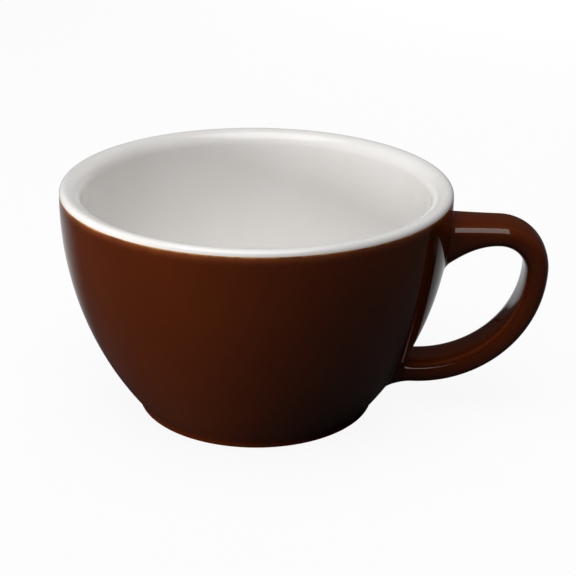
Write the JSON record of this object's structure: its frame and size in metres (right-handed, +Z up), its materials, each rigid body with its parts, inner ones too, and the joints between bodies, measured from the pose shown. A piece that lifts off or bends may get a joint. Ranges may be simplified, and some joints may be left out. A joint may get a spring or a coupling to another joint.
{
  "type": "latte cup",
  "caption": "Wide, rounded porcelain latte cup with a glossy brown outside, a white inside and lip, a low foot ring and an ear-shaped strap handle.",
  "frame": {"origin": "centre of the foot ring, on the plane the cup stands on", "axes": "+Z up along the bowl's axis, +X towards the handle"},
  "size_m": [0.1413, 0.113, 0.0679],
  "materials": {
    "porcelain": "bare, matt porcelain",
    "slip": "fired casting slip, under the glaze",
    "white_glaze": "gloss",
    "brown_glaze": "gloss"
  },
  "bodies": {
    "root": {"bowl": "porcelain", "inner_glaze": "white_glaze", "outer_glaze": "brown_glaze", "base_glaze": "brown_glaze", "handle": "porcelain", "upper_slip_joint": "slip", "lower_slip_joint": "slip", "handle_glaze": "brown_glaze"}
  },
  "joints": []
}
